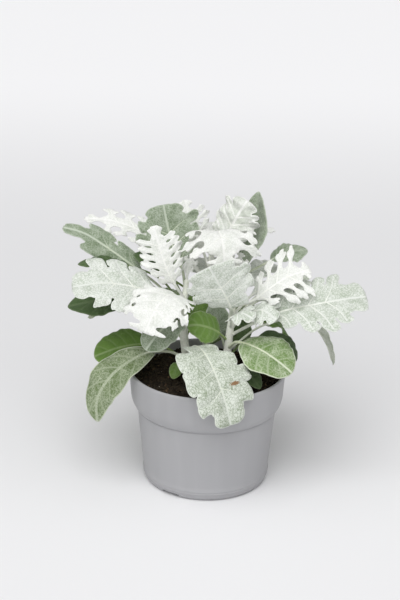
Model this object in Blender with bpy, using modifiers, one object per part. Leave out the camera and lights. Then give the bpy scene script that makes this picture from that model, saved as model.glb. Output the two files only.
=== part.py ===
import math

import bmesh
import bpy
from mathutils import Matrix, Vector, noise

# All lengths below are millimetres; MM turns them into metres.
MM = 0.001
GAP = 0.3
SEGMENTS = 36

# Pot: outside and inside profiles as (radius, height), from the middle of the base upwards.
POT_OUTSIDE = [
    (0, 0), (20, 0), (23, 3), (38, 3), (40.5, 0), (45.2, 0), (47.2, 1.6), (48.3, 5), (48.9, 8),
    (48.6, 9), (53.4, 59.5), (54.6, 60.5), (57.2, 65), (58.5, 70), (59.7, 88.2), (59.2, 90),
]
POT_INSIDE = [
    (57.8, 90), (57.2, 88), (56.9, 70), (55.6, 66.2), (52.3, 60.5), (47.3, 9), (46.3, 5.2),
    (41.8, 1.6), (40.8, 1.6), (38.8, 4.5), (22.2, 4.5), (19.2, 1.6), (0, 1.6),
]
DRAIN_HOLES = 6
DRAIN_RADIUS = 3
DRAIN_CIRCLE = 30.5
DRAIN_CUT = 12
# Notches in the foot: their turns, width and height, and how far in and out they are cut.
NOTCH_TURNS = (236, 56)
NOTCH_WIDTH = 15
NOTCH_HEIGHT = 3.2
NOTCH_INNER = 42.6
NOTCH_OUTER = 58.6

# Soil: top rings as radii, the height of the surface and how much it is mounded and lumpy.
SOIL_SIDES = [
    (0, 1.9), (18.6, 1.9), (21.6, 4.8), (39.2, 4.8), (45.2, 4.8), (46.9, 9.2), (51.9, 60.7),
    (55.1, 66.2), (56.5, 70), (56.6, 81.5),
]
SOIL_RINGS = (9, 18, 27, 36, 44, 51)
SOIL_TOP = 82.5
SOIL_MOUND = 2.0
SOIL_LUMP = 1.6
SOIL_GRAIN = 11

# Stems: (x, y, z, radius) from the planted end to the growing tip.
STEMS = {
    "stem_left": [(-13, 5, 68, 3.4), (-15, 3, 88, 3.4), (-18, 1, 112, 3.2), (-19, 3, 136, 2.6),
                  (-17, 5, 158, 1.9)],
    "stem_right": [(12, 4, 68, 3.2), (14, 1, 92, 3.1), (16, 0, 116, 2.9), (18, 2, 136, 2.3),
                   (20, 4, 156, 1.8)],
    "stem_back": [(-2, 26, 68, 3.2), (-1, 27, 96, 3.1), (0, 28, 124, 2.8), (1, 29, 148, 2.3),
                  (1, 30, 170, 1.8)],
}
STEM_SIDES = 4

# Leaf thickness at the petiole, along the rib and at the margin, and the petiole's half width.
PETIOLE_THICK = 2.4
RIB_THICK = 1.5
MARGIN_THICK = 0.8
PETIOLE_HALF = 1.3
# How far a petiole's thick end is kept off its stem, and the least of its slope that counts.
PETIOLE_CLEAR = 0.15
PETIOLE_RISE = 0.4
# Length of a facet along the leaf, steps of the rib's curve between two knots, and the least
# distance between a cut and a point of the outline.
STATION = 11
RIB_STEPS = 12
CUT_SLACK = 0.9

# Edge of a lobe from one corner of its foot to the other, as shares of its length and half width.
BROAD_EDGE = ((0.5, -0.96), (0.92, -0.6), (1, 0.05), (0.9, 0.66), (0.45, 0.96))
CLUB_EDGE = ((0.38, -0.44), (0.72, -1), (0.98, -0.4), (0.94, 0.5), (0.7, 0.95), (0.38, 0.44))
SLIM_EDGE = ((0.62, -0.85), (0.98, -0.5), (1, 0.42), (0.64, 0.85))

# Blade forms. lobes: pairs of side lobes. depth: how far the sinuses cut in, of the half width.
# lean: how far the lobes point forward, of their reach. gap: opening of a sinus, of a span.
# head: width of a lobe, of its span. edge: the edge of a lobe. widest: place of the greatest
# width along the blade. start, crown: where the side lobes start and end along the blade.
# full: fullness of the outline. top: width of the end lobe, of the distance between its corners.
ENTIRE = dict(lobes=0, widest=0.52, full=0.62)
LOBED = dict(lobes=3, depth=0.34, lean=0.4, gap=0.08, head=0.94, edge=BROAD_EDGE, widest=0.46,
             start=0.03, crown=0.72, full=0.45, top=0.96)
CUT = dict(lobes=4, depth=0.66, lean=0.55, gap=0.42, head=0.92, edge=CLUB_EDGE, widest=0.5,
           start=0.02, crown=0.78, full=0.4, top=1.15)
FINE = dict(CUT, lobes=6, depth=0.74, gap=0.46, edge=SLIM_EDGE, lean=0.5)
# Places along the blade of an uncut leaf, and how much its edge waves in and out.
ENTIRE_STOPS = (0.06, 0.2, 0.38, 0.56, 0.74, 0.9, 0.98)
EDGE_WAVE = 0.05
# The least half width at a sinus and the least reach of a lobe; the shift between the two sides;
# the difference between neighbouring lobes, and the step from the last of them to the end lobe.
LEAST_FOOT = 1.7
LEAST_REACH = 0.4
SIDE_SHIFT = 0.05
LOBE_VARIETY = 0.08
CROWN_STEP = 0.02
# The blade's fold and curl grow over this share of its length.
FOLD_START = 0.15

# Colour classes of the leaves.
GREEN = (0.16, 0.25, 0.09)
DARK = (0.09, 0.16, 0.06)
GREY = (0.46, 0.52, 0.42)
SILVER = (0.62, 0.67, 0.60)
WHITE = (0.86, 0.88, 0.86)


def leaf(name, stem, height, path, petiole, half, form, colour, **more):
    """A leaf: the stem and height it grows from, then the points its rib passes through."""
    settings = dict(name=name, stem=stem, height=height, path=path, petiole=petiole, half=half,
                    form=form, colour=colour, roll=(0, 0), fold=10, curl=-20, wave=1.0, waves=2,
                    heading=None, seed=len(name))
    settings.update(more)
    return settings


LEAVES = [
    # low leaves over the rim
    leaf("front_leaf", "stem_left", 103, [(-9, -20, 115), (-1, -42, 116), (7, -59, 105), (13, -67, 90),
         (17, -71, 75)], 20, 28, dict(LOBED, depth=0.3, widest=0.42, full=0.42), GREY, roll=(0, 8)),
    leaf("right_front_leaf", "stem_right", 108, [(21, -12, 116), (38, -26, 116), (52, -35, 110),
         (62, -39, 103)], 20, 21, dict(ENTIRE, full=0.5), GREEN, roll=(-12, -12)),
    leaf("left_front_leaf", "stem_left", 98, [(-30, -9, 106), (-45, -17, 108), (-60, -23, 102),
         (-74, -27, 90), (-82, -29, 74), (-82, -31, 57)], 28, 14, dict(ENTIRE, full=0.55), GREY,
         roll=(35, 35), wave=1.8, waves=3),
    leaf("left_leaf", "stem_left", 93, [(-30, 8, 101), (-48, 9, 104), (-68, 8, 101), (-87, 6, 94)],
         30, 18, dict(ENTIRE, full=0.5), GREEN, roll=(25, 30)),
    leaf("rim_leaf", "stem_right", 90, [(22, -16, 97), (31, -28, 96), (39, -37, 89)],
         20, 8, ENTIRE, DARK),
    leaf("right_low_leaf", "stem_right", 100, [(30, 6, 111), (44, 4, 113), (57, 0, 108), (67, -5, 98)],
         26, 15, ENTIRE, DARK, roll=(-15, -15)),
    leaf("soil_leaf", "stem_left", 90, [(-21, -8, 95), (-24, -14, 93), (-26, -19, 88)],
         8, 5, dict(ENTIRE, full=0.5), GREEN, roll=(20, 20), wave=0.6),
    # inner leaves
    leaf("left_inner_leaf", "stem_left", 121, [(-24, -10, 131), (-32, -19, 130), (-39, -25, 124),
         (-46, -29, 115)], 8, 14, dict(ENTIRE, full=0.45), GREY, roll=(18, 18), wave=1.6, waves=3),
    leaf("middle_leaf", "stem_right", 114, [(6, -6, 122), (-2, -10, 127), (-10, -12, 129),
         (-16, -12, 128)], 8, 13, dict(ENTIRE, full=0.5), GREEN, roll=(45, 45)),
    leaf("middle_upright_leaf", "stem_right", 102, [(11, 9, 110), (7, 11, 125), (4, 12, 140)],
         12, 11, ENTIRE, GREY, heading=90, fold=35, curl=-10),
    leaf("right_drooping_leaf", "stem_right", 106, [(40, 6, 122), (62, 9, 127), (80, 11, 121),
         (91, 12, 106), (97, 13, 88)], 40, 9, ENTIRE, GREY, fold=40),
    leaf("right_folded_leaf", "stem_back", 100, [(18, 29, 107), (34, 30, 115), (48, 32, 117),
         (58, 34, 110), (63, 35, 97)], 38, 13, ENTIRE, GREEN, wave=2, waves=3),
    leaf("middle_dim_leaf", "stem_left", 114, [(-12, 10, 122), (-9, 14, 134), (-8, 17, 147)],
         8, 9, ENTIRE, GREEN, heading=90),
    leaf("middle_hidden_leaf", "stem_back", 98, [(10, 21, 105), (21, 19, 112), (34, 19, 113)],
         14, 13, ENTIRE, DARK, roll=(-50, -50)),
    # wide leaves of the middle height
    leaf("right_wide_leaf", "stem_right", 118, [(34, -8, 130), (56, -13, 142), (82, -15, 149),
         (100, -13, 152), (117, -9, 153)], 36, 25, dict(LOBED, lobes=4), SILVER, roll=(-38, -32)),
    leaf("left_wide_leaf", "stem_left", 129, [(-34, -5, 149), (-54, -12, 158), (-78, -18, 163),
         (-101, -20, 160)], 30, 25, dict(LOBED, depth=0.4, gap=0.12), SILVER, roll=(35, 30)),
    leaf("left_shaded_leaf", "stem_left", 124, [(-36, 8, 140), (-58, 8, 144), (-82, 8, 140),
         (-107, 8, 134)], 34, 15, ENTIRE, DARK, roll=(28, 28)),
    leaf("left_white_leaf", "stem_left", 140, [(-23, -13, 152), (-31, -27, 157), (-39, -41, 151),
         (-46, -50, 137)], 12, 24, dict(CUT, depth=0.5, lobes=3, crown=0.72), WHITE, roll=(12, 12), curl=-30),
    leaf("middle_fan_leaf", "stem_right", 134, [(17, -12, 141), (15, -20, 150), (8, -25, 165),
         (-0.5, -28, 181)], 19, 26, dict(LOBED, depth=0.2, gap=0.2, widest=0.56, lean=0.2),
         SILVER, heading=90, fold=5, curl=-18),
    leaf("right_white_leaf", "stem_right", 140, [(32, -2, 145), (43, -5, 155), (58, -3, 165),
         (75, 2, 170)], 18, 24, CUT, WHITE, roll=(-40, -40)),
    leaf("right_curled_leaf", "stem_right", 128, [(30, -10, 138), (40, -18, 144), (50, -24, 139)],
         16, 13, dict(CUT, lobes=3, depth=0.45), SILVER, roll=(-30, -30), curl=-45),
    leaf("right_small_leaf", "stem_right", 124, [(18, -14, 136), (24, -22, 143), (33, -29, 141)],
         14, 11, dict(CUT, lobes=2, depth=0.5), SILVER, roll=(-20, -20)),
    # upright leaves
    leaf("left_upright_leaf", "stem_left", 146, [(-24, -3, 155), (-31, -5, 169), (-37, -3, 186),
         (-42, 1, 202)], 16, 16, FINE, WHITE, heading=95, curl=-25),
    leaf("tall_grey_leaf", "stem_left", 151, [(-20, 14, 162), (-28, 23, 179), (-33, 31, 195),
         (-36, 36, 208)], 18, 25, dict(LOBED, depth=0.3), GREY, heading=100),
    leaf("top_white_leaf", "stem_back", 160, [(3, 20, 182), (6, 9, 196), (9, -3, 191), (11, -12, 176)],
         12, 30, dict(CUT, depth=0.6), WHITE, curl=-30),
    leaf("top_cut_leaf", "stem_back", 150, [(8, 33, 166), (13, 34, 184), (20, 36, 199), (28, 38, 212)],
         22, 18, dict(CUT, lobes=5), SILVER, roll=(-55, -50), curl=-40),
    leaf("tall_smooth_leaf", "stem_back", 142, [(20, 36, 152), (32, 43, 172), (37, 49, 194),
         (37, 53, 215)], 30, 14, ENTIRE, GREY, heading=75, roll=(25, 25), fold=30),
    # leaves seen behind the others
    leaf("left_back_leaf", "stem_left", 134, [(-38, 17, 149), (-60, 25, 163), (-80, 32, 175),
         (-98, 37, 184), (-113, 40, 187)], 42, 13, dict(LOBED, lobes=2, depth=0.5), GREY,
         roll=(30, 35)),
    leaf("left_faint_leaf", "stem_back", 148, [(-24, 40, 168), (-50, 48, 181), (-74, 54, 188),
         (-98, 58, 189)], 40, 14, CUT, WHITE, roll=(30, 30)),
    leaf("left_tip_leaf", "stem_left", 139, [(-36, 9, 157), (-60, 10, 167), (-82, 10, 170),
         (-99, 9, 168)], 50, 7, ENTIRE, DARK, roll=(20, 20)),
    leaf("left_dim_leaf", "stem_back", 132, [(-28, 35, 148), (-54, 39, 161), (-74, 40, 167),
         (-90, 40, 168)], 56, 9, ENTIRE, GREEN, roll=(20, 20)),
    leaf("left_short_leaf", "stem_left", 145, [(-28, 12, 158), (-42, 19, 168), (-58, 24, 172)],
         16, 9, ENTIRE, DARK, roll=(20, 20)),
    leaf("back_pale_leaf", "stem_back", 160, [(-8, 41, 177), (-16, 51, 192), (-20, 60, 205)],
         16, 16, CUT, WHITE, heading=100),
    leaf("right_back_leaf", "stem_back", 138, [(22, 38, 149), (42, 46, 158), (60, 53, 165),
         (77, 60, 166)], 54, 12, ENTIRE, GREEN, roll=(-15, -15)),
    leaf("right_short_leaf", "stem_right", 126, [(34, 12, 142), (54, 19, 153), (77, 25, 156)],
         44, 9, ENTIRE, GREY, roll=(-15, -15)),
    # back of the plant
    leaf("back_right_low_leaf", "stem_back", 102, [(16, 46, 114), (32, 66, 116), (44, 82, 105),
         (50, 92, 88)], 30, 20, LOBED, GREEN),
    leaf("back_low_leaf", "stem_back", 108, [(-1, 50, 118), (-4, 72, 122), (-6, 90, 112),
         (-7, 100, 96)], 30, 21, LOBED, GREY),
    leaf("back_left_low_leaf", "stem_back", 114, [(-20, 44, 122), (-38, 60, 126), (-54, 75, 118),
         (-64, 84, 102)], 30, 20, dict(LOBED, lobes=4), GREEN),
    leaf("side_right_low_leaf", "stem_right", 122, [(36, 26, 134), (58, 40, 138), (78, 50, 130),
         (92, 57, 114)], 34, 19, LOBED, GREY),
    leaf("side_left_low_leaf", "stem_left", 112, [(-34, 22, 124), (-56, 36, 130), (-77, 46, 124),
         (-92, 52, 108)], 34, 19, LOBED, GREEN),
    leaf("back_right_cut_leaf", "stem_back", 145, [(12, 46, 160), (22, 64, 173), (32, 82, 178),
         (40, 98, 172)], 26, 20, CUT, WHITE),
    leaf("back_left_cut_leaf", "stem_back", 143, [(-12, 46, 158), (-22, 64, 169), (-34, 80, 172),
         (-46, 94, 164)], 26, 20, CUT, WHITE),
    leaf("back_right_grey_leaf", "stem_back", 126, [(18, 42, 138), (34, 58, 147), (52, 70, 148),
         (68, 79, 138)], 28, 18, dict(LOBED, lobes=4, depth=0.45), SILVER),
    leaf("back_middle_leaf", "stem_back", 130, [(-1, 48, 142), (-3, 68, 151), (-5, 86, 148),
         (-6, 101, 136)], 26, 18, dict(LOBED, lobes=4, depth=0.45), SILVER),
    leaf("side_right_leaf", "stem_right", 132, [(34, 24, 141), (52, 34, 146), (68, 43, 142),
         (80, 50, 131)], 26, 17, dict(CUT, lobes=3, depth=0.5), SILVER),
    leaf("side_left_leaf", "stem_left", 119, [(-36, 20, 136), (-56, 31, 142), (-74, 40, 139),
         (-88, 47, 128)], 28, 17, dict(CUT, lobes=3, depth=0.5), SILVER),
    leaf("back_upper_leaf", "stem_back", 154, [(0, 44, 170), (-1, 56, 180), (-2, 70, 183),
         (-2, 83, 178)], 18, 15, CUT, WHITE),
    # youngest leaves at the growing tips
    leaf("young_right_leaf", "stem_right", "tip", [(20, 5, 166), (24, 8, 180)],
         5, 7, dict(CUT, lobes=2, depth=0.5), WHITE, heading=60),
    leaf("young_left_leaf", "stem_left", "tip", [(-16, 6, 168), (-12, 8, 178)],
         5, 6, dict(CUT, lobes=2, depth=0.5), WHITE, heading=60),
    leaf("young_back_leaf", "stem_back", "tip", [(0, 30, 179), (-4, 31, 189)],
         5, 7, dict(CUT, lobes=2, depth=0.5), WHITE, heading=90),
]

UP = Vector((0, 0, 1))


def material(name, colour, roughness):
    made = bpy.data.materials.new(name)
    made.use_nodes = True
    shader = made.node_tree.nodes["Principled BSDF"]
    shader.inputs["Base Color"].default_value = (*colour, 1)
    shader.inputs["Roughness"].default_value = roughness
    return made


def new_object(name, mesh, collection, made_of=None):
    made = bpy.data.objects.new(name, mesh)
    collection.objects.link(made)
    if made_of:
        mesh.materials.append(made_of)
    return made


def mesh_from(name, bm):
    mesh = bpy.data.meshes.new(name)
    bm.normal_update()
    bm.to_mesh(mesh)
    bm.free()
    return mesh


def turned(name, profile, collection, made_of=None):
    """A profile of (radius, height), down its outer side, turned round the Z axis by a Screw."""
    bm = bmesh.new()
    verts = [bm.verts.new((radius * MM, 0, height * MM)) for radius, height in profile]
    for pair in zip(verts, verts[1:]):
        bm.edges.new(pair)
    made = new_object(name, mesh_from(name, bm), collection, made_of)
    screw = made.modifiers.new("Turn", "SCREW")
    screw.steps = SEGMENTS
    screw.render_steps = SEGMENTS
    screw.use_merge_vertices = True
    screw.merge_threshold = 0.01 * MM
    screw.use_smooth_shade = True
    return made


def apply_modifiers(made):
    """Turns the object's modifiers into mesh, so that its points can be moved."""
    graph = bpy.context.evaluated_depsgraph_get()
    mesh = bpy.data.meshes.new_from_object(made.evaluated_get(graph))
    made.modifiers.clear()
    made.data = mesh


def cut_with(target, collection):
    cut = target.modifiers.new("Cut", "BOOLEAN")
    cut.operation = "DIFFERENCE"
    cut.operand_type = "COLLECTION"
    cut.collection = collection
    cut.solver = "EXACT"


def add_pot(parts, cutters):
    pot = turned("pot", (POT_OUTSIDE + POT_INSIDE)[::-1], parts,
                 material("PotPlastic", (0.38, 0.38, 0.39), 0.42))
    openings = bpy.data.collections.new("PotCutters")
    cutters.children.link(openings)
    for count in range(DRAIN_HOLES):
        turn = math.tau * count / DRAIN_HOLES
        bm = bmesh.new()
        bmesh.ops.create_cone(bm, cap_ends=True, segments=12, radius1=DRAIN_RADIUS * MM,
                              radius2=DRAIN_RADIUS * MM, depth=DRAIN_CUT * MM)
        bmesh.ops.translate(bm, verts=bm.verts, vec=(DRAIN_CIRCLE * math.cos(turn) * MM,
                                                     DRAIN_CIRCLE * math.sin(turn) * MM, 0))
        new_object(f"DrainHole{count}", mesh_from("DrainHole", bm), openings)
    for count, degrees in enumerate(NOTCH_TURNS):
        bm = bmesh.new()
        bmesh.ops.create_cube(bm, size=1)
        bmesh.ops.scale(bm, verts=bm.verts, vec=((NOTCH_OUTER - NOTCH_INNER) * MM,
                                                 NOTCH_WIDTH * MM, 2 * NOTCH_HEIGHT * MM))
        bmesh.ops.translate(bm, verts=bm.verts, vec=((NOTCH_OUTER + NOTCH_INNER) / 2 * MM, 0, 0))
        bmesh.ops.rotate(bm, verts=bm.verts, matrix=Matrix.Rotation(math.radians(degrees), 3, "Z"))
        new_object(f"FootNotch{count}", mesh_from("FootNotch", bm), openings)
    cut_with(pot, openings)


def soil_height(x, y):
    """Height of the soil's surface over a place on it, with its mound and its lumps."""
    out = math.hypot(x, y) / SOIL_RINGS[-1]
    lump = noise.noise(Vector((x, y, 4)) / SOIL_GRAIN)
    return SOIL_TOP + SOIL_MOUND * (1 - min(out, 1) ** 2) + SOIL_LUMP * lump


def add_soil(parts, cutters):
    rings = [(radius, SOIL_TOP) for radius in (0, *SOIL_RINGS)]
    soil = turned("soil", rings + SOIL_SIDES[::-1], parts,
                  material("PottingSoil", (0.02, 0.016, 0.011), 0.95))
    apply_modifiers(soil)
    for vert in soil.data.vertices:
        if vert.co.z > (SOIL_TOP - GAP) * MM:
            vert.co.z = soil_height(vert.co.x / MM, vert.co.y / MM) * MM
    holes = bpy.data.collections.new("SoilCutters")
    cutters.children.link(holes)
    for name, points in STEMS.items():
        wider = [(x, y, z, radius + GAP) for x, y, z, radius in points[:2]]
        x, y, z, radius = wider[0]
        wider[0] = (x, y, z - GAP, radius)
        tube(f"{name}_hole", wider, holes)
    cut_with(soil, holes)


def tube(name, points, collection):
    """A tube of changing radius with filled ends, made as a bevelled curve and turned into a mesh."""
    curve = bpy.data.curves.new(name, "CURVE")
    curve.dimensions = "3D"
    curve.bevel_depth = MM
    curve.bevel_resolution = STEM_SIDES
    curve.resolution_u = 2
    curve.use_fill_caps = True
    line = curve.splines.new("POLY")
    line.points.add(len(points) - 1)
    for point, (x, y, z, radius) in zip(line.points, points):
        point.co = (x * MM, y * MM, z * MM, 1)
        point.radius = radius
    guide = bpy.data.objects.new(name, curve)
    mesh = bpy.data.meshes.new_from_object(guide)
    bpy.data.objects.remove(guide)
    bm = bmesh.new()
    bm.from_mesh(mesh)
    bpy.data.meshes.remove(mesh)
    bmesh.ops.remove_doubles(bm, verts=bm.verts, dist=0.01 * MM)
    bmesh.ops.recalc_face_normals(bm, faces=bm.faces)
    made = new_object(name, mesh_from(name, bm), collection)
    made.data.shade_smooth()
    made.data.set_sharp_from_angle(angle=math.radians(50))
    return made


def stem_at(name, height):
    """Centre and radius of a stem at a height."""
    points = STEMS[name]
    for low, high in zip(points, points[1:]):
        if height <= high[2]:
            break
    share = (height - low[2]) / (high[2] - low[2])
    x, y, z, radius = (a + (b - a) * share for a, b in zip(low, high))
    return Vector((x, y, z)), radius


def rib_points(spec):
    """Points close together along the rib, from the stem to the tip, and the length up to each."""
    knots = [Vector(point) for point in spec["path"]]
    if spec["height"] == "tip":
        start = Vector(STEMS[spec["stem"]][-1][:3]) + UP * 2 * GAP
    else:
        centre, radius = stem_at(spec["stem"], spec["height"])
        out = (knots[0] - centre) * Vector((1, 1, 0))
        rise = (knots[0] - centre).normalized().z
        away = radius + GAP + PETIOLE_CLEAR + PETIOLE_THICK / 2 * max(rise, PETIOLE_RISE)
        start = centre + out.normalized() * away
    knots.insert(0, start)
    spans = [(b - a).length for a, b in zip(knots, knots[1:])]
    slopes = [(knots[1] - knots[0]) / spans[0]]
    for i in range(1, len(knots) - 1):
        before = (knots[i] - knots[i - 1]) / spans[i - 1]
        after = (knots[i + 1] - knots[i]) / spans[i]
        slopes.append((before * spans[i] + after * spans[i - 1]) / (spans[i] + spans[i - 1]))
    slopes.append((knots[-1] - knots[-2]) / spans[-1])
    points = [start]
    for i, span in enumerate(spans):
        for step in range(1, RIB_STEPS + 1):
            t = step / RIB_STEPS
            points.append(knots[i] * (2 * t**3 - 3 * t**2 + 1) + knots[i + 1] * (3 * t**2 - 2 * t**3)
                          + slopes[i] * span * (t**3 - 2 * t**2 + t)
                          + slopes[i + 1] * span * (t**3 - t**2))
    lengths = [0]
    for a, b in zip(points, points[1:]):
        lengths.append(lengths[-1] + (b - a).length)
    return points, lengths


def envelope(u, form):
    """Half width of the blade's outline, of its greatest, at a share of the blade's length."""
    power = math.log(0.5) / math.log(form["widest"])
    return math.sin(math.pi * min(max(u, 0), 1) ** power) ** form["full"]


def lobe_points(first, last, tip, aside, edge):
    """The edge of one lobe, between the corners of its foot."""
    foot = (first + last) / 2
    return [first] + [foot + (tip - foot) * reach + aside * side for reach, side in edge] + [last]


def half_outline(spec, blade, side):
    """Points of one half of the blade from its foot towards its last sinus, as (along, across)."""
    form, half, petiole = spec["form"], spec["half"], spec["petiole"]
    span = (form["crown"] - form["start"]) / form["lobes"]
    width = form["head"] * span * blade / 2
    points = []
    for i in range(form["lobes"]):
        u = form["start"] + span * (i + 0.5 + SIDE_SHIFT * side)
        corners = []
        for corner in (u - span * (1 - form["gap"]) / 2, u + span * (1 - form["gap"]) / 2):
            across = half * envelope(corner, form) * (1 - form["depth"])
            corners.append(Vector((petiole + corner * blade, max(across, LEAST_FOOT))))
        vary = 1 + LOBE_VARIETY * math.sin(2.4 * i + 1.7 * side + spec["seed"])
        reach = half * max(envelope(u, form), LEAST_REACH) * vary
        tip = Vector((petiole + u * blade, reach))
        points += lobe_points(*corners, tip, Vector((width, 0)), form["edge"])
    for point in points:
        fade = 1 - ((point.x - petiole) / blade) ** 4
        point.x += form["lean"] * fade * (point.y - PETIOLE_HALF)
    return points


def outline(spec, blade):
    """The leaf laid flat, as (along, across) from the petiole's right corner round to its left."""
    form, half, petiole = spec["form"], spec["half"], spec["petiole"]
    sides = []
    for side in (-1, 1):
        points = [Vector((0, PETIOLE_HALF)), Vector((petiole / 2, PETIOLE_HALF)),
                  Vector((petiole, PETIOLE_HALF))]
        if form["lobes"]:
            points += half_outline(spec, blade, side)
        else:
            for u in ENTIRE_STOPS:
                ripple = 1 + EDGE_WAVE * math.sin(9 * u + spec["seed"] + side)
                points.append(Vector((petiole + u * blade, half * envelope(u, form) * ripple)))
        sides.append([Vector((point.x, point.y * side)) for point in points])
    crown = [Vector((petiole + blade, 0))]
    if form["lobes"]:
        first, last = (Vector((points[-1].x + CROWN_STEP * blade, points[-1].y)) for points in sides)
        crown = lobe_points(first, last, crown[0], Vector((0, last.y * form["top"])),
                            form["edge"])
    return sides[0] + crown + sides[1][::-1]


def rib_frame(spec, points, lengths, along):
    """Place, sideways direction and upper normal of the leaf at a length along its rib."""
    along = min(max(along, 0), lengths[-1])
    i = 1
    while i < len(lengths) - 1 and lengths[i] < along:
        i += 1
    share = (along - lengths[i - 1]) / (lengths[i] - lengths[i - 1])
    place = points[i - 1].lerp(points[i], share)
    before = points[max(i - 2, 0)]
    after = points[min(i + 1, len(points) - 1)]
    forward = (after - before).normalized()
    heading = spec["heading"]
    if heading is None:
        run = points[-1] - points[0]
        ahead = Vector((run.x, run.y, 0)).normalized()
    else:
        ahead = Vector((math.cos(math.radians(heading)), math.sin(math.radians(heading)), 0))
    sideways = ahead.cross(UP)
    sideways = (sideways - forward * sideways.dot(forward)).normalized()
    start, end = spec["roll"]
    turn = Matrix.Rotation(-math.radians(start + (end - start) * along / lengths[-1]), 3, forward)
    sideways = turn @ sideways
    return place, sideways, sideways.cross(forward)


def on_leaf(spec, points, lengths, along, across):
    """Place on the bent blade of a point of the flat leaf."""
    place, sideways, normal = rib_frame(spec, points, lengths, along)
    blade = lengths[-1] - spec["petiole"]
    u = (along - spec["petiole"]) / blade
    if u <= 0:
        return place + sideways * across
    fade = min(u / FOLD_START, 1)
    start = math.radians(spec["fold"]) * fade
    bend = math.radians(spec["curl"]) / spec["half"] * fade
    reach = abs(across)
    if abs(bend) < 1e-6:
        run, lift = reach * math.cos(start), reach * math.sin(start)
    else:
        run = (math.sin(start + bend * reach) - math.sin(start)) / bend
        lift = (math.cos(start) - math.cos(start + bend * reach)) / bend
    side = math.copysign(1, across)
    ripple = math.sin(math.tau * spec["waves"] * u + spec["seed"] + side)
    lift += spec["wave"] * (reach / spec["half"]) ** 2 * ripple
    return place + sideways * run * side + normal * lift


def add_leaf(spec, parts, made_of):
    points, lengths = rib_points(spec)
    total = lengths[-1]
    petiole = spec["petiole"]
    bm = bmesh.new()
    rim = [bm.verts.new((point.x, point.y, 0)) for point in outline(spec, total - petiole)]
    bm.faces.new(rim)
    cuts = [((0, 0, 0), (0, 1, 0))]
    steps = max(round((total - petiole) / STATION), 2)
    cuts += [((petiole + (total - petiole) * k / steps, 0, 0), (1, 0, 0)) for k in range(steps)]
    stalks = max(round(petiole / STATION), 1)
    cuts += [((petiole * k / stalks, 0, 0), (1, 0, 0)) for k in range(1, stalks)]
    for place, normal in cuts:
        bmesh.ops.bisect_plane(bm, geom=bm.verts[:] + bm.edges[:] + bm.faces[:],
                               dist=CUT_SLACK, plane_co=place, plane_no=normal)
    bmesh.ops.triangulate(bm, faces=bm.faces)
    weights = []
    for vert in bm.verts:
        along, across = vert.co.x, vert.co.y
        thick = MARGIN_THICK
        if along <= petiole + CUT_SLACK / 2:
            thick = PETIOLE_THICK
        elif abs(across) < PETIOLE_HALF:
            thick = RIB_THICK + (MARGIN_THICK - RIB_THICK) * (along - petiole) / (total - petiole)
        weights.append(thick / PETIOLE_THICK)
        vert.co = on_leaf(spec, points, lengths, along, across) * MM
    made = new_object(spec["name"], mesh_from(spec["name"], bm), parts, made_of)
    group = made.vertex_groups.new(name="Thickness")
    for index, weight in enumerate(weights):
        group.add([index], weight, "REPLACE")
    solid = made.modifiers.new("Solid", "SOLIDIFY")
    solid.thickness = PETIOLE_THICK * MM
    solid.offset = 0
    solid.vertex_group = group.name


def main():
    for old in list(bpy.data.objects):
        bpy.data.objects.remove(old)
    parts = bpy.data.collections.new("DustyMiller")
    bpy.context.scene.collection.children.link(parts)
    cutters = bpy.data.collections.new("Cutters")
    bpy.context.scene.collection.children.link(cutters)
    add_pot(parts, cutters)
    add_soil(parts, cutters)
    for name, points in STEMS.items():
        stem = tube(name, points, parts)
        stem.data.materials.append(material("Stem", (0.45, 0.50, 0.38), 0.8))
    for spec in LEAVES:
        add_leaf(spec, parts, material(spec["name"], spec["colour"], 0.85))
    for cutter in cutters.all_objects:
        cutter.hide_render = True
        cutter.display_type = "WIRE"


main()
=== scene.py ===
import math
import random

import bmesh
import bpy
import numpy as np
from mathutils import Matrix, Vector, noise


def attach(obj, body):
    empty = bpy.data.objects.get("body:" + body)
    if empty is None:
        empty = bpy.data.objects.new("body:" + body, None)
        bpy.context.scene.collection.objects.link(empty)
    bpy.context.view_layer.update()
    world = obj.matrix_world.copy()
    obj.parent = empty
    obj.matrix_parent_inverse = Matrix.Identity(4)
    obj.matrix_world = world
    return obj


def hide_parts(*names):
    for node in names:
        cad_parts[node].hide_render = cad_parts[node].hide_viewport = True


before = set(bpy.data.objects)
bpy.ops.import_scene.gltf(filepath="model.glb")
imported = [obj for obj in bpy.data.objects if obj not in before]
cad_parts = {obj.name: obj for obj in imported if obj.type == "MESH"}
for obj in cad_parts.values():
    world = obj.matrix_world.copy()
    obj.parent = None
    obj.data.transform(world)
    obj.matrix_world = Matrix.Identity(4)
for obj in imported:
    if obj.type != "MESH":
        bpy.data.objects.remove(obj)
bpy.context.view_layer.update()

# lengths in the tables are millimetres, the meshes are in metres
mm = 0.001
up = Vector((0, 0, 1))
scene = bpy.context.scene


def srgb(red, green, blue):
    # a colour from 0 to 255, turned linear for the shaders
    def linear(value):
        value = value / 255
        return value / 12.92 if value <= 0.04045 else ((value + 0.055) / 1.055) ** 2.4
    return (linear(red), linear(green), linear(blue), 1)


# short hands for building node trees

def add(tree, kind, settings=None, inputs=None):
    made = tree.nodes.new(kind)
    for name, value in (settings or {}).items():
        setattr(made, name, value)
    for name, value in (inputs or {}).items():
        if isinstance(value, bpy.types.NodeSocket):
            tree.links.new(value, made.inputs[name])
        else:
            made.inputs[name].default_value = value
    return made


def maths(tree, operation, first, second):
    return add(tree, "ShaderNodeMath", {"operation": operation}, {0: first, 1: second}).outputs[0]


def plus(tree, first, second):
    return maths(tree, "ADD", first, second)


def times(tree, first, second):
    return maths(tree, "MULTIPLY", first, second)


def mixColours(tree, amount, first, second):
    return add(tree, "ShaderNodeMix", {"data_type": "RGBA"},
               {0: amount, 6: first, 7: second}).outputs[2]


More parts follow.
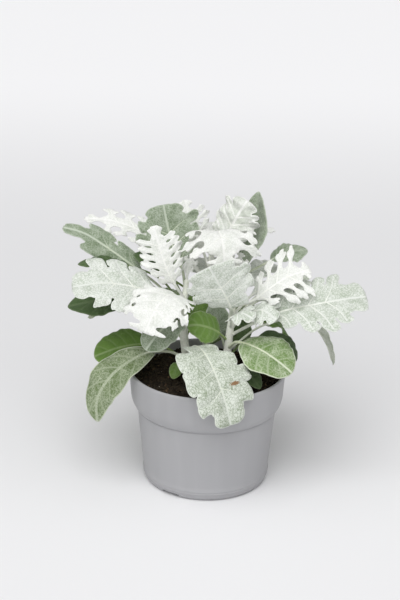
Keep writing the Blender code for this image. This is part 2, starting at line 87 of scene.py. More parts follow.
def fade(tree, value, low, high, start=0.0, end=1.0):
    # a soft step from start at low to end at high
    return add(tree, "ShaderNodeMapRange", {"interpolation_type": "SMOOTHSTEP"},
               {"Value": value, "From Min": low, "From Max": high, "To Min": start,
                "To Max": end}).outputs[0]


def grain(tree, vector, scale, detail=2.0, rough=0.5, distort=0.0):
    return add(tree, "ShaderNodeTexNoise", None,
               {"Vector": vector, "Scale": scale, "Detail": detail, "Roughness": rough,
                "Distortion": distort}).outputs["Fac"]


def stretched(tree, vector, scale):
    return add(tree, "ShaderNodeMapping", None, {"Vector": vector, "Scale": scale}).outputs[0]


def newGroup(name, values, results):
    # a node group with a Vector and these numbers as inputs, and numbers as outputs
    group = bpy.data.node_groups.new(name, "ShaderNodeTree")
    sockets = group.interface
    sockets.new_socket(name="Vector", in_out="INPUT", socket_type="NodeSocketVector")
    for label, value in values.items():
        socket = sockets.new_socket(name=label, in_out="INPUT", socket_type="NodeSocketFloat")
        socket.default_value = value
    for label in results:
        sockets.new_socket(name=label, in_out="OUTPUT", socket_type="NodeSocketFloat")
    return group, group.nodes.new("NodeGroupInput").outputs, group.nodes.new("NodeGroupOutput").inputs


def useGroup(tree, group, inputs):
    return add(tree, "ShaderNodeGroup", {"node_tree": group}, inputs).outputs


def newMaterial(name, constants):
    made = bpy.data.materials.new(name)
    made.use_nodes = True
    shader = made.node_tree.nodes["Principled BSDF"]
    for label, value in constants.items():
        shader.inputs[label].default_value = value
    return made, made.node_tree, shader


def link(tree, socket, shader, label):
    tree.links.new(socket, shader.inputs[label])


def addBump(tree, shader, height, strength, distance):
    bump = add(tree, "ShaderNodeBump", None,
               {"Height": height, "Strength": strength, "Distance": distance * mm})
    link(tree, bump.outputs[0], shader, "Normal")


def attribute(tree, name):
    return add(tree, "ShaderNodeAttribute", {"attribute_name": name}).outputs["Fac"]


# Hairs on a leaf. widths and lifts: how wide the lines of the net are and how much they count. The
# scales of the fine net, the wool and the patches are shares of the net's own scale.
webLook = {
    "warpScale": 2.2, "warp": 0.5,
    "netWidth": 0.16, "netLift": 0.42, "netHeight": 0.6,
    "fineScale": 2.3, "fineWidth": 0.24, "fineLift": 0.3,
    "woolScale": 3.2, "woolLift": 0.5,
    "patchScale": 0.22, "fullCover": 1.1,
}


def makeHairWebGroup():
    # cobweb of white hairs on a leaf: a net of lines, finer wool between them, and thin patches
    values = {"Scale": 4.0, "Cover": 0.5, "Patches": 0.6, "Lines": 1.0}
    group, given, result = newGroup("HairWeb", values, ("Mask", "Height"))
    warp = add(group, "ShaderNodeTexNoise", None,
               {"Vector": given["Vector"], "Scale": webLook["warpScale"]}).outputs["Color"]
    bent = add(group, "ShaderNodeVectorMath", {"operation": "MULTIPLY_ADD"},
               {0: warp, 1: (webLook["warp"],) * 3, 2: given["Vector"]}).outputs[0]

    def scaled(share):
        return times(group, given["Scale"], share)

    def netOf(scale, width):
        cells = add(group, "ShaderNodeTexVoronoi", {"feature": "DISTANCE_TO_EDGE"},
                    {"Vector": bent, "Scale": scale}).outputs["Distance"]
        return fade(group, cells, 0.0, width, 1.0, 0.0)

    net = netOf(given["Scale"], webLook["netWidth"])
    fineNet = netOf(scaled(webLook["fineScale"]), webLook["fineWidth"])
    wool = grain(group, bent, scaled(webLook["woolScale"]), 3.0, 0.6)
    patch = grain(group, given["Vector"], scaled(webLook["patchScale"]))
    lines = plus(group, times(group, net, webLook["netLift"]),
                 times(group, fineNet, webLook["fineLift"]))
    total = times(group, lines, given["Lines"])
    for value, share in ((wool, webLook["woolLift"]), (patch, given["Patches"])):
        total = plus(group, total, times(group, maths(group, "SUBTRACT", value, 0.5), share))
    total = plus(group, total, given["Cover"])
    group.links.new(fade(group, total, 0.0, webLook["fullCover"]), result["Mask"])
    group.links.new(plus(group, times(group, net, webLook["netHeight"]), wool), result["Height"])
    return group


def makeWoolGroup():
    # short matted wool, for felt all over a surface
    group, given, result = newGroup("Wool", {"Scale": 20.0}, ("Tone", "Height"))
    strands = grain(group, given["Vector"], given["Scale"], 5.0, 0.7, 1.2)
    coarse = grain(group, given["Vector"], times(group, given["Scale"], 0.2), 3.0, 0.6)
    group.links.new(plus(group, times(group, strands, 0.6), times(group, coarse, 0.4)), result["Tone"])
    group.links.new(strands, result["Height"])
    return group


hairWeb = makeHairWebGroup()
wool = makeWoolGroup()

# Finishes of the leaves, colours from 0 to 255. flesh, flesh2: the green under the hairs, in two
# tones. felt: colour of the hairs. cover: how much of the leaf they hide. scale: net cells per cm.
# patches: how uneven the cover is. lines: how much paler the net is, or darker where it is below 0.
# rib, veins, margin: how white the midrib, the side veins and the edge are. under, stalk: light and
# shade of the underside, and of the midrib and leaf stalk.
felted = dict(scale=4.6, patches=0.8, lines=0.6, rib=0.9, veins=0.4, margin=0.9)
smooth = dict(scale=3.0, patches=0.4, lines=0.4, cover=-0.2)
leafFinishes = {
    "white": dict(felted, flesh=(186, 194, 180), flesh2=(204, 209, 197), felt=(240, 240, 237),
                  cover=0.86, scale=4.5, lines=-0.5, veins=0.8, slot="leaf_white",
                  under=((246, 246, 243), (220, 223, 214)), stalk=((248, 248, 244), (226, 228, 218))),
    "silver": dict(felted, flesh=(140, 155, 130), flesh2=(172, 183, 164), felt=(226, 229, 223),
                   cover=0.88, lines=-0.8, veins=0.9, slot="leaf_silver",
                   under=((234, 236, 230), (202, 207, 194)), stalk=((242, 243, 236), (214, 219, 204))),
    "grey": dict(felted, flesh=(112, 128, 98), flesh2=(146, 159, 132), felt=(218, 223, 213),
                 cover=0.94, patches=0.9, lines=-1.0, veins=0.6, margin=0.95, slot="leaf_grey",
                 under=((216, 220, 208), (176, 185, 164)), stalk=((236, 239, 227), (202, 209, 187))),
    "slate": dict(felted, flesh=(88, 106, 76), flesh2=(120, 136, 106), felt=(192, 201, 184),
                  cover=0.22, margin=0.8, slot="leaf_grey",
                  under=((196, 203, 186), (152, 163, 138)), stalk=((214, 220, 200), (176, 186, 158))),
    "moss": dict(felted, flesh=(78, 98, 52), flesh2=(106, 124, 80), felt=(204, 211, 188),
                 cover=0.12, scale=4.4, slot="leaf_green",
                 under=((204, 211, 190), (162, 174, 142)), stalk=((234, 238, 220), (204, 211, 182))),
    "meadow": dict(felted, flesh=(84, 116, 48), flesh2=(122, 148, 88), felt=(214, 222, 198),
                   cover=0.1, scale=4.4, patches=1.2, lines=0.7, margin=0.95, slot="leaf_green",
                   under=((206, 214, 190), (164, 177, 140)), stalk=((226, 232, 206), (190, 200, 162))),
    "green": dict(smooth, flesh=(82, 114, 44), flesh2=(110, 142, 66), felt=(180, 196, 150),
                  rib=0.35, veins=0.12, margin=0.4, slot="leaf_green",
                  under=((170, 184, 150), (126, 144, 100)), stalk=((152, 172, 112), (118, 142, 78))),
    "dark": dict(smooth, flesh=(52, 74, 38), flesh2=(76, 98, 56), felt=(140, 156, 120),
                 rib=0.25, veins=0.1, margin=0.3, slot="leaf_dark",
                 under=((140, 154, 122), (94, 112, 74)), stalk=((126, 142, 98), (92, 110, 66))),
}

# What all of them share: where the pale rib, veins and edge fade out, in mm, and how ragged they are.
leafLook = {
    "greenScale": 0.9, "ragScale": 9.0, "rag": 0.7,
    "ribFade": (0.9, 1.9), "veinFade": (0.6, 1.3), "edgeFade": (0.6, 1.5),
    "streakStretch": (0.35, 4.5, 1), "streakFade": (0.52, 0.7),
    "spotFade": (0.75, 1.0), "spotColour": (138, 106, 74),
    "bump": 0.6, "height": 0.3,
}


def makeLeafMaterial(name, finish):
    made, tree, shader = newMaterial(f"Leaf {name}", {
        "Roughness": 0.82, "Sheen Weight": 0.2, "Sheen Roughness": 0.5, "Specular IOR Level": 0.3})
    flat = add(tree, "ShaderNodeUVMap", {"uv_map": "Flat"}).outputs[0]
    rag = times(tree, grain(tree, flat, leafLook["ragScale"]), leafLook["rag"])

    def line(layer, reach, strength):
        ragged = plus(tree, attribute(tree, layer), rag)
        return fade(tree, ragged, *leafLook[reach], strength, 0.0)

    cover = plus(tree, attribute(tree, "tone"), finish["cover"])
    web = useGroup(tree, hairWeb, {"Vector": flat, "Scale": finish["scale"], "Cover": cover,
                                   "Patches": finish["patches"], "Lines": finish["lines"]})
    streak = grain(tree, stretched(tree, flat, leafLook["streakStretch"]), 1.0, 3.0, 0.6)
    streak = fade(tree, streak, *leafLook["streakFade"])
    pale = times(tree, streak, attribute(tree, "streaks"))
    for mask in (line("rib", "ribFade", finish["rib"]), line("vein", "veinFade", finish["veins"]),
                 line("edge", "edgeFade", finish["margin"]), web["Mask"]):
        pale = maths(tree, "MAXIMUM", pale, mask)
    flesh = mixColours(tree, grain(tree, flat, leafLook["greenScale"], 3.0, 0.6),
                       srgb(*finish["flesh"]), srgb(*finish["flesh2"]))
    colour = mixColours(tree, pale, flesh, srgb(*finish["felt"]))
    spot = fade(tree, plus(tree, attribute(tree, "spot"), rag), *leafLook["spotFade"])
    link(tree, mixColours(tree, spot, colour, srgb(*leafLook["spotColour"])), shader, "Base Color")
    addBump(tree, shader, web["Height"], leafLook["bump"], leafLook["height"])
    return made


# Matted wool of undersides, ribs and stems: strands per metre, and how it passes from shade to light
feltLook = {"under": 700, "stalk": 600, "stem": 500, "fade": (0.35, 0.65), "bump": 0.6, "height": 0.3}


def makeFeltMaterial(name, colours, scale):
    made, tree, shader = newMaterial(name, {
        "Roughness": 0.9, "Sheen Weight": 0.35, "Sheen Roughness": 0.5, "Specular IOR Level": 0.2})
    light, shade = (srgb(*colour) for colour in colours)
    place = add(tree, "ShaderNodeTexCoord").outputs["Object"]
    felt = useGroup(tree, wool, {"Vector": place, "Scale": scale})
    tone = fade(tree, felt["Tone"], *feltLook["fade"])
    link(tree, mixColours(tree, tone, shade, light), shader, "Base Color")
    addBump(tree, shader, felt["Height"], feltLook["bump"], feltLook["height"])
    return made


# Satin grey plastic: very faint flow streaks up the wall, cloudy areas and a fine moulded grain
plastic = {
    "dark": (164, 164, 166), "light": (169, 169, 171), "cloud": (162, 162, 165),
    "streakStretch": (90, 90, 5), "streakFade": (0.2, 0.8),
    "cloudScale": 12, "cloudFade": (0.3, 0.8, 0.0, 0.5),
    "grainScale": 2600, "bump": 0.1, "height": 0.1, "roughFade": (0.7, 1.3, 0.42, 0.52),
}


def makePotPlastic():
    made, tree, shader = newMaterial("Pot plastic", {"Specular IOR Level": 0.4})
    place = add(tree, "ShaderNodeTexCoord").outputs["Object"]
    streaks = grain(tree, stretched(tree, place, plastic["streakStretch"]), 1.0)
    clouds = grain(tree, place, plastic["cloudScale"])
    colour = mixColours(tree, fade(tree, streaks, *plastic["streakFade"]), srgb(*plastic["dark"]),
                        srgb(*plastic["light"]))
    colour = mixColours(tree, fade(tree, clouds, *plastic["cloudFade"]), colour, srgb(*plastic["cloud"]))
    link(tree, colour, shader, "Base Color")
    rough = fade(tree, plus(tree, streaks, clouds), *plastic["roughFade"])
    link(tree, rough, shader, "Roughness")
    addBump(tree, shader, grain(tree, place, plastic["grainScale"]), plastic["bump"], plastic["height"])
    return made


# Soil and what lies in it: lumps and grains per metre, and dark and light colour of each sort
soilLook = {
    "lumpScale": 260, "fineScale": 1500, "fine": 0.5, "fade": (0.55, 0.95), "bump": 0.9, "height": 0.5,
    "Potting soil": ((24, 20, 14), (58, 48, 36)),
    "Bark and grit": ((46, 34, 24), (104, 84, 62)),
    "Perlite": ((150, 142, 128), (222, 216, 204)),
}


def makeSoilMaterial(name):
    made, tree, shader = newMaterial(name, {"Roughness": 0.95, "Specular IOR Level": 0.25})
    dark, light = (srgb(*colour) for colour in soilLook[name])
    place = add(tree, "ShaderNodeTexCoord").outputs["Object"]
    lumps = grain(tree, place, soilLook["lumpScale"], 4.0, 0.65)
    fine = grain(tree, place, soilLook["fineScale"], 3.0, 0.6)
    tone = plus(tree, lumps, times(tree, fine, soilLook["fine"]))
    link(tree, mixColours(tree, fade(tree, tone, *soilLook["fade"]), dark, light), shader, "Base Color")
    addBump(tree, shader, plus(tree, lumps, fine), soilLook["bump"], soilLook["height"])
    return made


# upper side, underside and rim, ribs and stalk of each finish
leafMaterials = {
    name: [makeLeafMaterial(name, finish),
           makeFeltMaterial(f"Underside {name}", finish["under"], feltLook["under"]),
           makeFeltMaterial(f"Rib {name}", finish["stalk"], feltLook["stalk"])]
    for name, finish in leafFinishes.items()}
stemFelt = makeFeltMaterial("Stem felt", ((248, 248, 240), (222, 226, 210)), feltLook["stem"])
potPlastic = makePotPlastic()
pottingSoil = makeSoilMaterial("Potting soil")
bark = makeSoilMaterial("Bark and grit")
perlite = makeSoilMaterial("Perlite")
print("materials made")


def meshOf(name, bm):
    mesh = bpy.data.meshes.new(name)
    bm.to_mesh(mesh)
    bm.free()
    return mesh


def addObject(name, data):
    made = bpy.data.objects.new(name, data)
    scene.collection.objects.link(made)
    return made


def addPiece(name, bm, materials, slot, *nodes):
    mesh = meshOf(name, bm)
    mesh.shade_smooth()
    made = addObject(name, mesh)
    for material in materials:
        mesh.materials.append(material)
    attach(made, "root")
    if nodes:
        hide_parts(*nodes)
    return made


def sweep(bm, points, radii, sides, slot=0):
    # a round stem through the points, with its own radius at each, joined into bm
    curve = bpy.data.curves.new("Sweep", "CURVE")
    curve.dimensions = "3D"
    curve.bevel_depth = 1
    curve.bevel_resolution = sides // 2 - 2
    curve.use_fill_caps = True
    line = curve.splines.new("POLY")
    line.points.add(len(points) - 1)
    for point, place, radius in zip(line.points, points, radii):
        point.co = (*place, 1)
        point.radius = radius
    guide = bpy.data.objects.new("Sweep", curve)
    mesh = bpy.data.meshes.new_from_object(guide)
    bpy.data.objects.remove(guide)
    bpy.data.curves.remove(curve)
    oldFaces, oldVerts = len(bm.faces), len(bm.verts)
    bm.from_mesh(mesh)
    bpy.data.meshes.remove(mesh)
    bm.verts.ensure_lookup_table()
    bmesh.ops.remove_doubles(bm, verts=bm.verts[oldVerts:], dist=0.002 * mm)
    bm.faces.ensure_lookup_table()
    for face in bm.faces[oldFaces:]:
        face.material_index = slot


# edge of a lobe from one corner of its foot to the other, as shares of its length and half width
broadEdge = [(0.14, -0.9), (0.4, -1.02), (0.64, -1.02), (0.84, -0.84), (0.92, -0.58), (1.0, -0.42),
             (1.05, -0.12), (1.03, 0.18), (0.97, 0.42), (0.94, 0.66), (0.8, 0.92), (0.6, 1.02),
             (0.36, 1.0), (0.14, 0.9)]
roundEdge = [(0.12, -0.96), (0.4, -1.04), (0.7, -0.98), (0.92, -0.7), (1.02, -0.3), (1.0, -0.06),
             (1.03, 0.2), (0.95, 0.66), (0.72, 1.0), (0.4, 1.04), (0.12, 0.96)]
clubEdge = [(0.2, -0.42), (0.42, -0.46), (0.56, -0.9), (0.7, -1.06), (0.84, -0.84), (0.86, -0.46),
            (0.99, -0.48), (1.07, 0.0), (1.01, 0.42), (0.86, 0.4), (0.85, 0.8), (0.7, 1.04),
            (0.56, 0.9), (0.42, 0.44), (0.2, 0.4)]
slimEdge = [(0.2, -0.56), (0.44, -0.7), (0.64, -1.0), (0.82, -0.92), (0.88, -0.5), (1.04, -0.46),
            (1.08, 0.1), (0.98, 0.5), (0.86, 0.52), (0.76, 0.98), (0.6, 0.94), (0.42, 0.7), (0.2, 0.56)]

# Blade forms. lobes: pairs of side lobes. depth: how deep the cuts between them are. lean: how far
# the lobes point forward. gap: width of a cut. head: width of a lobe. widest: place of the greatest
# width. start, crown: where the lobes start and end. full: fullness. top: width of the end lobe.
# sway: how far each lobe bends up or down by itself. veins: side veins of a leaf without lobes.
entire = dict(lobes=0, widest=0.52, full=0.62, veins=6, sway=0)
lobed = dict(lobes=3, depth=0.34, lean=0.4, gap=0.08, head=0.94, edge=broadEdge, widest=0.46,
             start=0.03, crown=0.72, full=0.45, top=0.96, sway=0.7)
cut = dict(lobes=4, depth=0.66, lean=0.55, gap=0.42, head=0.92, edge=clubEdge, widest=0.5,
           start=0.02, crown=0.78, full=0.4, top=1.15, sway=1.3)
oval = dict(entire, full=0.5)
bud = dict(cut, lobes=2, depth=0.5)
fine = dict(cut, lobes=6, depth=0.62, gap=0.22, head=1.16, edge=slimEdge, lean=0.5, sway=1.2)


def leaf(name, stem, height, path, petiole, half, form, finish, **more):
    # stem and height: where it grows from. path: points that its rib passes through. half: half width.
    # roll: tilt, or tilt at the foot and the tip. fold, curl: angle at the rib, and bend to the margin.
    # wave, waves: how the margin waves. heading: where an upright leaf points. tone: more hairs or
    # fewer. relief, crumple: height of the puffs between the veins, and of the creases. streaks: pale
    # lines along it. damage: place and size of a brown spot.
    settings = dict(name=f"{name}_leaf", stem=f"stem_{stem}", height=height, path=path, petiole=petiole,
                    half=half, form=form, finish=finish, roll=0, fold=10, curl=-20, wave=1.0, waves=2,
                    heading=None, tone=0.0, relief=0.6, crumple=0.35, streaks=0.0, damage=None)
    settings.update(more)
    settings["seed"] = len(settings["name"])
    return settings


leaves = [
    # low leaves over the rim
    leaf("front", "left", 103, [(-9, -20, 115), (-1, -42, 116), (7, -59, 105), (13, -67, 90),
         (17, -71, 75)], 20, 28, dict(lobed, lobes=4, depth=0.25, widest=0.56, full=0.72, lean=0.1,
         head=1.0, start=0.06, crown=0.84, edge=roundEdge, sway=1.0), "grey", roll=(0, 8), relief=0.9,
         damage=(75, -12, 1.6, 4.2)),
    leaf("right_front", "right", 108, [(21, -12, 116), (38, -26, 116), (52, -35, 110), (62, -39, 103)],
         20, 21, oval, "meadow", roll=-12),
    leaf("left_front", "left", 98, [(-30, -9, 106), (-45, -17, 108), (-60, -23, 102), (-74, -27, 90),
         (-82, -29, 74), (-82, -31, 57)], 28, 14, dict(entire, full=0.55), "moss", roll=35, wave=1.8,
         waves=3),
    leaf("left", "left", 93, [(-30, 8, 101), (-48, 9, 104), (-68, 8, 101), (-87, 6, 94)], 30, 18, oval,
         "green", roll=(25, 30)),
    leaf("rim", "right", 90, [(22, -16, 97), (31, -28, 96), (39, -37, 89)], 20, 8, entire, "dark"),
    leaf("right_low", "right", 100, [(30, 6, 111), (44, 4, 113), (57, 0, 108), (67, -5, 98)], 26, 15,
         entire, "dark", roll=-15),
    leaf("soil", "left", 90, [(-21, -8, 95), (-24, -14, 93), (-26, -19, 88)], 8, 5, oval, "green",
         roll=20, wave=0.6),
    # inner leaves
    leaf("left_inner", "left", 121, [(-24, -10, 131), (-32, -19, 130), (-39, -25, 124), (-46, -29, 115)],
         8, 14, dict(entire, full=0.45), "slate", roll=18, wave=1.6, waves=3),
    leaf("middle", "right", 114, [(6, -6, 122), (-2, -10, 127), (-10, -12, 129), (-16, -12, 128)], 8, 13,
         oval, "green", roll=45),
    leaf("middle_upright", "right", 102, [(11, 9, 110), (7, 11, 125), (4, 12, 140)], 12, 11, entire,
         "slate", heading=90, fold=35, curl=-10),
    leaf("right_drooping", "right", 106, [(40, 6, 122), (62, 9, 127), (80, 11, 121), (91, 12, 106),
         (97, 13, 88)], 40, 9, entire, "grey", fold=40, tone=-0.05),
    leaf("right_folded", "back", 100, [(18, 29, 107), (34, 30, 115), (48, 32, 117), (58, 34, 110),
         (63, 35, 97)], 38, 13, entire, "green", wave=2, waves=3),
    leaf("middle_dim", "left", 114, [(-12, 10, 122), (-9, 14, 134), (-8, 17, 147)], 8, 9, entire,
         "green", heading=90, tone=0.2),
    leaf("middle_hidden", "back", 98, [(10, 21, 105), (21, 19, 112), (34, 19, 113)], 14, 13, entire,
         "dark", roll=-50, tone=0.3),
    # wide leaves of the middle height
    leaf("right_wide", "right", 118, [(34, -8, 130), (56, -13, 142), (82, -15, 149), (100, -13, 152),
         (117, -9, 153)], 36, 25, dict(lobed, lobes=4), "silver", roll=(-38, -32), tone=-0.05),
    leaf("left_wide", "left", 129, [(-34, -5, 149), (-54, -12, 158), (-78, -18, 163), (-101, -20, 160)],
         30, 25, dict(lobed, depth=0.4, gap=0.12), "silver", roll=(35, 30), tone=0.05),
    leaf("left_shaded", "left", 124, [(-36, 8, 140), (-58, 8, 144), (-82, 8, 140), (-107, 8, 134)], 34,
         15, entire, "dark", roll=28),
    leaf("left_white", "left", 140, [(-23, -13, 152), (-31, -27, 157), (-39, -41, 151), (-46, -50, 137)],
         12, 24, dict(cut, lobes=5, depth=0.3, gap=0.12, head=1.12, lean=0.22, crown=0.82, sway=1.2),
         "white", roll=12, curl=-35, crumple=1.0),
    leaf("middle_fan", "right", 134, [(17, -12, 141), (15, -20, 150), (8, -25, 165), (-0.5, -28, 181)],
         19, 26, dict(lobed, depth=0.2, gap=0.2, widest=0.56, lean=0.2), "silver", heading=90, fold=5,
         curl=-18, tone=0.05),
    leaf("right_white", "right", 140, [(32, -2, 145), (43, -5, 155), (58, -3, 165), (75, 2, 170)], 18,
         24, cut, "white", roll=-40),
    leaf("right_curled", "right", 128, [(30, -10, 138), (40, -18, 144), (50, -24, 139)], 16, 13,
         dict(lobed, depth=0.4, gap=0.2, sway=1.6), "silver", roll=-30, curl=-45),
    leaf("right_small", "right", 124, [(18, -14, 136), (24, -22, 143), (33, -29, 141)], 14, 11,
         dict(lobed, lobes=2, depth=0.4, gap=0.2, sway=1.4), "silver", roll=-20),
    # upright leaves
    leaf("left_upright", "left", 146, [(-24, -3, 155), (-31, -5, 169), (-37, -3, 186), (-42, 1, 202)],
         16, 16, fine, "white", heading=95, curl=-25),
    leaf("tall_grey", "left", 151, [(-20, 14, 162), (-28, 23, 179), (-33, 31, 195), (-36, 36, 208)], 18,
         25, dict(lobed, depth=0.3), "slate", heading=100, tone=0.05),
    leaf("top_white", "back", 160, [(3, 20, 182), (6, 9, 196), (9, -3, 191), (11, -12, 176)], 12, 29,
         dict(cut, depth=0.52, gap=0.24, head=1.0, sway=2.2), "white", curl=-30, crumple=1.0),
    leaf("top_cut", "back", 150, [(8, 33, 166), (13, 34, 184), (20, 36, 199), (28, 38, 212)], 22, 18,
         dict(cut, lobes=5, depth=0.42, gap=0.16, head=1.1, edge=broadEdge, sway=2.4), "white",
         roll=(-55, -50), curl=-55, wave=3, waves=4, tone=-0.3, crumple=3),
    leaf("tall_smooth", "back", 142, [(20, 36, 152), (32, 43, 172), (37, 49, 194), (37, 53, 215)], 30,
         14, entire, "slate", heading=75, roll=25, fold=30, tone=0.1, streaks=0.6),
    # leaves seen behind the others
    leaf("left_back", "left", 134, [(-38, 17, 149), (-60, 25, 163), (-80, 32, 175), (-98, 37, 184),
         (-113, 40, 187)], 42, 13, dict(lobed, lobes=2, depth=0.5), "slate", roll=(30, 35)),
    leaf("left_faint", "back", 148, [(-24, 40, 168), (-50, 48, 181), (-74, 54, 188), (-98, 58, 189)], 40,
         14, cut, "white", roll=30),
    leaf("left_tip", "left", 139, [(-36, 9, 157), (-60, 10, 167), (-82, 10, 170), (-99, 9, 168)], 50, 7,
         entire, "dark", roll=20),
    leaf("left_dim", "back", 132, [(-28, 35, 148), (-54, 39, 161), (-74, 40, 167), (-90, 40, 168)], 56,
         9, entire, "green", roll=20, tone=0.3),
    leaf("left_short", "left", 145, [(-28, 12, 158), (-42, 19, 168), (-58, 24, 172)], 16, 9, entire,
         "dark", roll=20),
    leaf("back_pale", "back", 160, [(-8, 41, 177), (-16, 51, 192), (-20, 60, 205)], 16, 16, cut, "white",
         heading=100),
    leaf("right_back", "back", 138, [(22, 38, 149), (42, 46, 158), (60, 53, 165), (77, 60, 166)], 54, 12,
         entire, "slate", roll=-15),
    leaf("right_short", "right", 126, [(34, 12, 142), (54, 19, 153), (77, 25, 156)], 44, 9, entire,
         "grey", roll=-15),
    # back of the plant
    leaf("back_right_low", "back", 102, [(16, 46, 114), (32, 66, 116), (44, 82, 105), (50, 92, 88)], 30,
         20, lobed, "meadow"),
    leaf("back_low", "back", 108, [(-1, 50, 118), (-4, 72, 122), (-6, 90, 112), (-7, 100, 96)], 30, 21,
         lobed, "grey"),
    leaf("back_left_low", "back", 114, [(-20, 44, 122), (-38, 60, 126), (-54, 75, 118), (-64, 84, 102)],
         30, 20, dict(lobed, lobes=4), "meadow"),
    leaf("side_right_low", "right", 122, [(36, 26, 134), (58, 40, 138), (78, 50, 130), (92, 57, 114)],
         34, 19, lobed, "grey"),
    leaf("side_left_low", "left", 112, [(-34, 22, 124), (-56, 36, 130), (-77, 46, 124), (-92, 52, 108)],
         34, 19, lobed, "meadow"),
    leaf("back_right_cut", "back", 145, [(12, 46, 160), (22, 64, 173), (32, 82, 178), (40, 98, 172)], 26,
         20, cut, "white"),
    leaf("back_left_cut", "back", 143, [(-12, 46, 158), (-22, 64, 169), (-34, 80, 172), (-46, 94, 164)],
         26, 20, cut, "white"),
    leaf("back_right_grey", "back", 126, [(18, 42, 138), (34, 58, 147), (52, 70, 148), (68, 79, 138)],
         28, 18, dict(lobed, lobes=4, depth=0.45), "silver"),
    leaf("back_middle", "back", 130, [(-1, 48, 142), (-3, 68, 151), (-5, 86, 148), (-6, 101, 136)], 26,
         18, dict(lobed, lobes=4, depth=0.45), "silver", tone=0.1),
    leaf("side_right", "right", 132, [(34, 24, 141), (52, 34, 146), (68, 43, 142), (80, 50, 131)], 26,
         17, dict(cut, lobes=3, depth=0.5), "silver", tone=0.1),
    leaf("side_left", "left", 119, [(-36, 20, 136), (-56, 31, 142), (-74, 40, 139), (-88, 47, 128)], 28,
         17, dict(cut, lobes=3, depth=0.5), "silver"),
    leaf("back_upper", "back", 154, [(0, 44, 170), (-1, 56, 180), (-2, 70, 183), (-2, 83, 178)], 18, 15,
         cut, "white"),
    # youngest leaves at the growing tips
    leaf("young_right", "right", "tip", [(20, 5, 166), (24, 8, 180)], 5, 7, bud, "white", heading=60),
    leaf("young_left", "left", "tip", [(-16, 6, 168), (-12, 8, 178)], 5, 6, bud, "white", heading=60),
    leaf("young_back", "back", "tip", [(0, 30, 179), (-4, 31, 189)], 5, 7, bud, "white", heading=90),
]

# stems as (x, y, z, radius) from the planted end to the growing tip
stems = {
    "stem_left": [(-13, 5, 68, 3.4), (-15, 3, 88, 3.4), (-18, 1, 112, 3.2), (-19, 3, 136, 2.6),
                  (-17, 5, 158, 1.9)],
    "stem_right": [(12, 4, 68, 3.2), (14, 1, 92, 3.1), (16, 0, 116, 2.9), (18, 2, 136, 2.3),
                   (20, 4, 156, 1.8)],
    "stem_back": [(-2, 26, 68, 3.2), (-1, 27, 96, 3.1), (0, 28, 124, 2.8), (1, 29, 148, 2.3),
                  (1, 30, 170, 1.8)],
}

# Leaf blades, in mm where they are lengths
blade = {
    "cell": 1.0, "snap": 0.12,  # size of a facet, and how near to a point a cut keeps to that point
    "ribSteps": 20,  # steps of the rib's curve between two knots
    "thick": 0.75, "rimShare": 0.55, "rimWidth": 1.2,
    "footHalf": 1.3, "footBack": 1.5, "footShare": 0.4, "leastFoot": 1.7,  # where it leaves the stalk
    "foldStart": 0.15,  # share of the blade over which it starts to fold
    "ruffle": 0.4, "ruffles": 7,  # small waves of the margin
    "swayLean": 0.4, "leanFade": 4,
    "puffWidth": 2.2, "calmEdge": 3, "creaseSize": 5,
    "edgeSteps": 36, "edgeWave": (0.05, 9, 1, 1), "edgeTeeth": (0.012, 41, 1),
    "lobeReach": (0.04, 2.1, 5), "lobeWidth": (0.05, 1.7, 9), "lobeLength": (0.08, 2.4, 1.7, 1),
    "leastReach": 0.4, "sideShift": 0.05, "crownStep": 0.02,
    "veinBack": 0.35, "veinBend": 0.45, "plainFoot": (0.2, 0.1), "plainRun": (0.4, 0.14),
    "branches": ((0.1, 1), (0.3, -1), (0.5, 1)), "branchRun": 0.35, "branchOut": 0.4,
    "veinFade": 0.9, "branchFade": 1.2, "branchStart": 0.3,
    "patternShift": (3.7, 1.3),
}
# midrib with its stalk, and side veins
ribLook = {
    "step": 2, "end": 0.96, "foot": 1.15, "tip": 0.35, "taper": 0.8, "sides": 8,
    "flare": 0.35, "flareLength": 5,  # the stalk widens where it meets the stem
    "sink": 0.1, "sinkRate": 6,  # how far the midrib lies in the blade
    "veinFoot": 0.52, "veinTip": 0.24, "veinRise": 0.4, "veinSides": 6, "veinEnd": 0.85,
    "leastSize": 0.55, "fullHalf": 45,  # narrow leaves have thinner ribs
}


def wavy(look, *turns):
    # 1, give or take a little: look is the amount, then the rate for each of the turns
    amount, *rates = look
    return 1 + amount * math.sin(sum(rate * turn for rate, turn in zip(rates, turns)))


def hermite(knots, steps):
    # a smooth curve through the knots
    spans = [(b - a).length for a, b in zip(knots, knots[1:])]
    slopes = [(knots[1] - knots[0]) / spans[0]]
    for i in range(1, len(knots) - 1):
        before = (knots[i] - knots[i - 1]) / spans[i - 1]
        after = (knots[i + 1] - knots[i]) / spans[i]
        slopes.append((before * spans[i] + after * spans[i - 1]) / (spans[i] + spans[i - 1]))
    slopes.append((knots[-1] - knots[-2]) / spans[-1])
    points = [knots[0]]
    for i, span in enumerate(spans):
        for step in range(1, steps + 1):
            t = step / steps
            points.append(knots[i] * (2 * t**3 - 3 * t**2 + 1) + knots[i + 1] * (3 * t**2 - 2 * t**3)
                          + slopes[i] * span * (t**3 - 2 * t**2 + t)
                          + slopes[i + 1] * span * (t**3 - t**2))
    return points


def stemAt(name, height):
    for low, high in zip(stems[name], stems[name][1:]):
        if height <= high[2]:
            break
    share = (height - low[2]) / (high[2] - low[2])
    x, y, z, radius = (a + (b - a) * share for a, b in zip(low, high))
    return Vector((x, y, z)), radius


